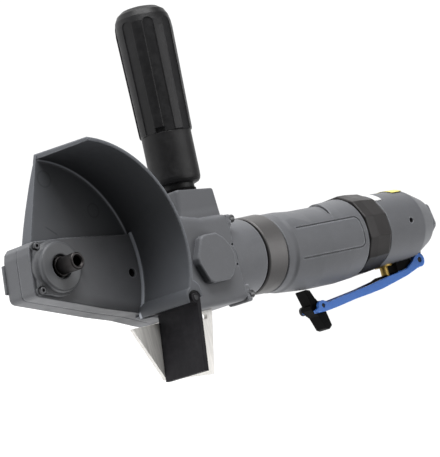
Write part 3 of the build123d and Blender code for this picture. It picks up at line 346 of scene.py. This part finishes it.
def arm_and_boss_shade(g, col, base):
    """Painted shade along the lower edge of the arm, heavier towards the head, and a lighter painted shade on the
    upper face of the boss.
    """
    x, y, z = g.xyz()
    d = g.math("ADD", g.math("ADD", y, 0.0166), g.math("MULTIPLY", x, 0.30))
    # painted shade along the lower edge of the arm
    arm_edge_shade = g.math("MULTIPLY", g.rng(d, 0.0005, 0.0070, 1.0, 0.0, smooth=True), g.rng(x, -0.006, 0.030, 0.0, 0.95, smooth=True))
    arm_edge_shade = g.math("MULTIPLY", arm_edge_shade, g.rng(x, 0.056, 0.064, 1.0, 0.0, smooth=True))
    arm_edge_shade = g.math("MULTIPLY", arm_edge_shade, g.rng(g.noise(60.0, 4.0, 0.6, 0.5), 0.3, 0.7, 0.85, 1.0))
    col = g.mix(arm_edge_shade, col, scale_c(base, 0.48))
    # painted shade on the upper face of the boss
    boss_top_shade = g.math("MULTIPLY", g.rng(y, 0.0125, 0.0165, 0.0, 0.75, smooth=True), g.rng(x, 0.066, 0.074, 0.0, 1.0))
    boss_top_shade = g.math("MULTIPLY", boss_top_shade, g.rng(x, 0.106, 0.112, 1.0, 0.0))
    return g.mix(boss_top_shade, col, scale_c(base, 0.80))


def barrel_underside_shade(g, col, base):
    """Painted shade towards the underside of the barrel."""
    x, y, z = g.xyz()
    under_shade = g.math("MULTIPLY", g.rng(y, -0.0230, -0.0315, 0.0, 0.92, smooth=True), g.rng(g.noise(90.0, 4.0, 0.6, 0.5), 0.3, 0.7, 0.85, 1.0))
    return g.mix(under_shade, col, scale_c(base, 0.22))


# ---------------------------------------------------------------- finishes
M = {}
M["housing"] = coat("housing_grey", (0.149, 0.153, 0.164), edge_gain=2.7, edge_amt=0.8, edge_r=0.0014, spec=0.28, marks=arm_and_boss_shade)
M["hood"] = coat("hood_grey", (0.128, 0.135, 0.149), rough=0.52, peel=0.12, edge_gain=2.7, edge_amt=0.8, edge_r=0.0014, spec=0.30, marks=hood_shade_and_marks, calm=over_screws)
# housing grey lightened by about a tenth as painted light on the flange
M["flange"] = coat("flange_lit_grey", (0.166, 0.170, 0.182), edge_gain=2.6, edge_amt=0.8, edge_r=0.0014, spec=0.28)
M["cover"] = coat("cover_grey", (0.149, 0.153, 0.164), edge_gain=3.0, edge_amt=0.85, edge_r=0.0014, spec=0.28, corner_shade=0.08, marks=cover_shade)
M["retainer"] = coat("retainer_grey", (0.118, 0.122, 0.130), rough=0.46, edge_gain=2.3, edge_amt=0.7, edge_r=0.0013)
M["collar"] = coat("collar_dark", (0.036, 0.0335, 0.0335), rough=0.42, spec=0.35, edge_gain=1.8, corner_shade=0.25, marks=barrel_underside_shade)
M["ring"] = metal("ring_metal", (0.148, 0.143, 0.142), rough=0.38, metallic=0.45, axis="X", scale=5200.0, bump=0.16, aniso=0.55, stain=0.15, marks=ring_underside_shade)
M["steel_z"] = metal("bright_steel_z", (0.50, 0.50, 0.49), rough=0.26, axis="Z", aniso=0.4)
M["steel_x"] = metal("bright_steel_x", (0.50, 0.50, 0.49), rough=0.26, axis="X", aniso=0.4)
M["steel_y"] = metal("bright_steel_y", (0.50, 0.50, 0.49), rough=0.26, axis="Y", aniso=0.4)
M["spindle"] = metal("spindle_dark", (0.044, 0.041, 0.041), rough=0.38, axis="Z", aniso=0.3, bump=0.14, edge_gain=1.6)
# near-black metal darkened past black oxide as painted shade for the rings deep at the spindle base
M["shaded_dark_ring"] = metal("shaded_dark_ring", (0.010, 0.0098, 0.0100), rough=0.48, metallic=0.5, axis="Z", edge_gain=1.6, stain=0.3)
M["oxide"] = metal("black_oxide", (0.034, 0.034, 0.036), rough=0.40, metallic=0.75, edge_gain=2.6, stain=0.35, streak=(1, 1, 1))
M["bolt"] = metal("bolt_steel", (0.17, 0.17, 0.174), rough=0.36, metallic=0.95, edge_gain=2.0, stain=0.35)
M["screw"] = metal("dark_screw", (0.085, 0.086, 0.090), rough=0.38, metallic=0.85, edge_gain=2.2, stain=0.3)
M["plate"] = metal("plate_metal", (0.93, 0.91, 0.87), rough=0.45, metallic=0.38, streak=(1, 0.06, 1), bump=0.12, stain=0.10)
M["alu"] = metal("aluminium", (0.50, 0.50, 0.51), rough=0.32, axis="X", stain=0.15)
M["alu_z"] = metal("aluminium_z", (0.50, 0.50, 0.51), rough=0.32, axis="Z", stain=0.15)
M["gear"] = metal("gear_steel", (0.26, 0.255, 0.25), rough=0.34, streak=(1, 1, 0.1), stain=0.3)
M["brass"] = metal("brass", (0.46, 0.31, 0.070), rough=0.44, metallic=0.55, axis="Y", stain=0.15)
M["rubber"] = polymer("black_rubber", (0.0110, 0.0108, 0.0118), rough=0.42, grain=1500.0, bump=0.22, spec=0.30, dust=0.05, edge_gain=2.6)
M["sleeve"] = polymer("sleeve_black", (0.0125, 0.0122, 0.0130), rough=0.46, grain=1700.0, bump=0.2, spec=0.28)
M["plastic"] = polymer("black_plastic", (0.0056, 0.0054, 0.0056), rough=0.46, grain=1600.0, bump=0.2, spec=0.05, dust=0.02)
M["pad"] = polymer("pad_black", (0.0040, 0.0039, 0.0042), rough=0.75, grain=1200.0, bump=0.2, spec=0.02, dust=0.01)
M["flap"] = polymer("flap_black", (0.0128, 0.0119, 0.0148), rough=0.58, grain=700.0, bump=0.22, dust=0.08, spec=0.16)
M["belt"] = polymer("belt_black", (0.02, 0.02, 0.021), rough=0.65, grain=900.0, bump=0.4)
M["blue"] = coat("lever_blue", (0.058, 0.205, 0.680), rough=0.36, var=0.07, edge_gain=1.9, edge_amt=0.55, peel=0.10, corner_shade=0.5, spec=0.5)
M["felt"] = fibrous("felt", (0.35, 0.35, 0.34))
M["phenolic"] = laminate("phenolic", (0.20, 0.09, 0.04))

LOOK = {
    "gear_housing": "housing", "back_cover": "housing", "back_cover_screws": "screw", "arm_plug": "plastic", "side_cover": "cover",
    "guard_hood": "hood", "hood_screws": "screw", "spindle_retainer": "retainer", "retainer_screws": "screw",
    "motor_flange": "flange", "flange_screws": "bolt", "lock_ring": "ring", "grip_housing": "housing",
    "exhaust_collar": "collar", "exhaust_felt": "felt", "rear_housing": "housing", "inlet_bushing": "steel_x",
    "housing_pin": "oxide", "front_end_plate": "alu", "motor_cylinder": "gear", "rear_end_plate": "alu",
    "spindle_outer_rings": "shaded_dark_ring", "jackshaft_outer_rings": "steel_z", "rotor_outer_rings": "steel_x",
    "handle_stud": "steel_y", "handle_washer": "plastic", "handle_sleeve": "sleeve", "handle_grip": "rubber",
    "accelerator_bar": "oxide", "flap": "flap", "bracket_plate": "plate", "bracket_screws": "screw",
    "throttle_pin": "oxide", "valve_bushing": "brass", "valve_seat": "rubber", "valve_spring": "steel_y",
    "valve_block": "plastic", "drive_belt": "belt", "rotor": "gear", "rotor_vanes": "phenolic",
    "bevel_pinion": "gear", "rotor_inner_rings": "steel_x", "jackshaft": "steel_z", "bevel_gear": "gear",
    "jackshaft_pulley": "alu_z", "jackshaft_nut": "steel_z", "jackshaft_inner_rings": "steel_z",
    "spindle": "spindle", "spindle_pulley": "alu_z", "spindle_spacer": "shaded_dark_ring", "spindle_inner_rings": "shaded_dark_ring",
    "throttle_lever": "blue", "lock_pin": "oxide", "lever_pad": "pad", "lock_lever": "plastic",
    "lock_spring": "steel_z", "valve_stem": "brass",
}
for name, o in nodes.items():
    o.data.materials.clear()
    o.data.materials.append(M[LOOK[name]])

# a copy of the valve spring, with a mesh of its own, is attached to the housing unit; the original is hidden
coil = bpy.data.objects.new("valve_coil", nodes["valve_spring"].data.copy())
scene.collection.objects.link(coil)
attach(coil, "housing_unit")
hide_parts("valve_spring")
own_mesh(coil)

# ---------------------------------------------------------------- plain labels on the rear housing


def cyl_patch(name, x0, x1, a0, a1, r, mat, thick=0.0001, nx=10, na=18, rc=0.0008):
    """Thin label bent round the barrel, with rounded corners. Angles in degrees from +Z towards +Y."""
    bm = bmesh.new()
    arc = r * math.radians(a1 - a0)
    grid = []
    for i in range(nx + 1):
        row = []
        for j in range(na + 1):
            u, v = (x1 - x0) * i / nx, arc * j / na
            cu, cv = min(u, (x1 - x0) - u), min(v, arc - v)
            if cu < rc and cv < rc:
                d = math.hypot(rc - cu, rc - cv)
                if d > rc:
                    k = rc / d
                    du, dv = (rc - cu) * (1 - k), (rc - cv) * (1 - k)
                    u += du if u < (x1 - x0) / 2 else -du
                    v += dv if v < arc / 2 else -dv
            a = math.radians(a0) + v / r
            row.append(bm.verts.new((x0 + u, BY * MM + r * math.sin(a), BZ * MM + r * math.cos(a))))
        grid.append(row)
    for i in range(nx):
        for j in range(na):
            bm.faces.new((grid[i][j], grid[i + 1][j], grid[i + 1][j + 1], grid[i][j + 1]))
    bm.normal_update()
    me = bpy.data.meshes.new(name)
    bm.to_mesh(me)
    bm.free()
    me.materials.append(mat)
    for p in me.polygons:
        p.use_smooth = True
    o = bpy.data.objects.new(name, me)
    scene.collection.objects.link(o)
    s = o.modifiers.new("thick", "SOLIDIFY")
    s.thickness = thick
    s.offset = 0.0
    return o


def paper(name, base):
    g = G(name)
    f = g.noise(900.0, 4.0, 0.6)
    big = g.noise(120.0, 3.0, 0.6)
    col = g.mix(g.rng(big, 0.3, 0.7, 0.0, 1.0), scale_c(base, 0.94), scale_c(base, 1.03))
    nrm, edge = g.edge(0.0003)
    col = g.mix(g.math("MULTIPLY", edge, 0.5), col, scale_c(base, 0.75))
    return g.set(Base_Color=col, Roughness=g.rng(f, 0.3, 0.7, 0.28, 0.42), Normal=g.bump(f, 0.06, 0.00005, normal=nrm))


lab_w = cyl_patch("label_white", 0.2293, 0.2352, 45, 108, 0.02097, paper("label_white", (0.93, 0.93, 0.94)))
lab_y = cyl_patch("label_yellow", 0.2500, 0.2582, 61, 110, 0.02097, paper("label_yellow", (0.93, 0.80, 0.17)))
for o in (lab_w, lab_y):
    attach(o, "housing_unit")

# ---------------------------------------------------------------- stage, light, camera
FLOOR_X, FLOOR_Y, FLOOR_HI, FLOOR_LO = -0.01, -0.06, 1.36, 1.02
bm = bmesh.new()
N = 24
HALF = 1.6
vs = [[bm.verts.new((0.12 + HALF * (2 * i / N - 1), -0.01 + HALF * (2 * j / N - 1), -0.0004)) for j in range(N + 1)] for i in range(N + 1)]
for i in range(N):
    for j in range(N):
        bm.faces.new((vs[i][j], vs[i + 1][j], vs[i + 1][j + 1], vs[i][j + 1]))
me = bpy.data.meshes.new("floor")
bm.to_mesh(me)
bm.free()
floor = bpy.data.objects.new("floor", me)
scene.collection.objects.link(floor)
gf = G("floor_pale")
fx, fy, fz = gf.xyz()
colf = gf.mix(gf.rng(gf.noise(3.0, 2.0), 0.3, 0.7, 0.0, 1.0), (0.030, 0.030, 0.030), (0.036, 0.036, 0.036))
# self-lit sweep, brighter below the arm so its underside catches light
ex = gf.math("MULTIPLY", gf.math("SUBTRACT", fx, FLOOR_X), 1.0)
ey = gf.math("MULTIPLY", gf.math("SUBTRACT", fy, FLOOR_Y), 1.3)
ed = gf.math("SQRT", gf.math("ADD", gf.math("MULTIPLY", ex, ex), gf.math("MULTIPLY", ey, ey)))
gf.set(Base_Color=colf, Roughness=0.95, Specular_IOR_Level=0.05)
gf.b.inputs["Emission Color"].default_value = (1.0, 1.0, 1.0, 1.0)
gf.l(gf.rng(ed, 0.02, 0.18, FLOOR_HI, FLOOR_LO, smooth=True), gf.b.inputs["Emission Strength"])
floor.data.materials.append(gf.mat)

world = bpy.data.worlds.new("studio")
scene.world = world
world.use_nodes = True
bg = world.node_tree.nodes["Background"]
bg.inputs[0].default_value = (1.0, 1.0, 1.0, 1.0)
bg.inputs[1].default_value = 0.17

RIGHT = Vector((0.69729, -0.25871, 0.66848))
UP = Vector((0.13015, 0.96279, 0.23684))
BACK = Vector((-0.70487, -0.07814, 0.70501))
AIM = Vector((0.13, -0.01, 0.025))


def softbox(name, right, up, back, dist, size, power, size_y=None):
    d = (RIGHT * right + UP * up + BACK * back).normalized()
    ld = bpy.data.lights.new(name, "AREA")
    ld.shape = "RECTANGLE"
    ld.size = size
    ld.size_y = size_y or size
    ld.energy = power
    o = bpy.data.objects.new(name, ld)
    o.location = AIM + d * dist
    o.rotation_mode = "QUATERNION"
    o.rotation_quaternion = d.to_track_quat("Z", "Y")
    scene.collection.objects.link(o)
    return o


softbox("key", -0.05, 0.95, 0.25, 1.1, 0.9, 15.5)
fill = softbox("fill", 0.865, -0.414, -0.285, 1.2, 0.7, 13.0)
fill.visible_glossy = False
sheen = softbox("sheen", 0.88, 0.22, 0.42, 1.2, 1.1, 9.0)
sheen.visible_diffuse = False

cam_d = bpy.data.cameras.new("camera")
cam_d.sensor_fit = "HORIZONTAL"
cam_d.sensor_width = 36.0
cam_d.lens = 2603.16 * 36.0 / 440.0
cam_d.clip_start, cam_d.clip_end = 0.05, 20.0
cam_o = bpy.data.objects.new("camera", cam_d)
rot = Matrix((RIGHT, UP, BACK)).transposed().to_4x4()
cam_o.matrix_world = Matrix.Translation((-0.8577, -0.1037, 1.0007)) @ rot
scene.collection.objects.link(cam_o)
scene.camera = cam_o
scene.view_settings.view_transform = "Standard"
scene.view_settings.look = "None"
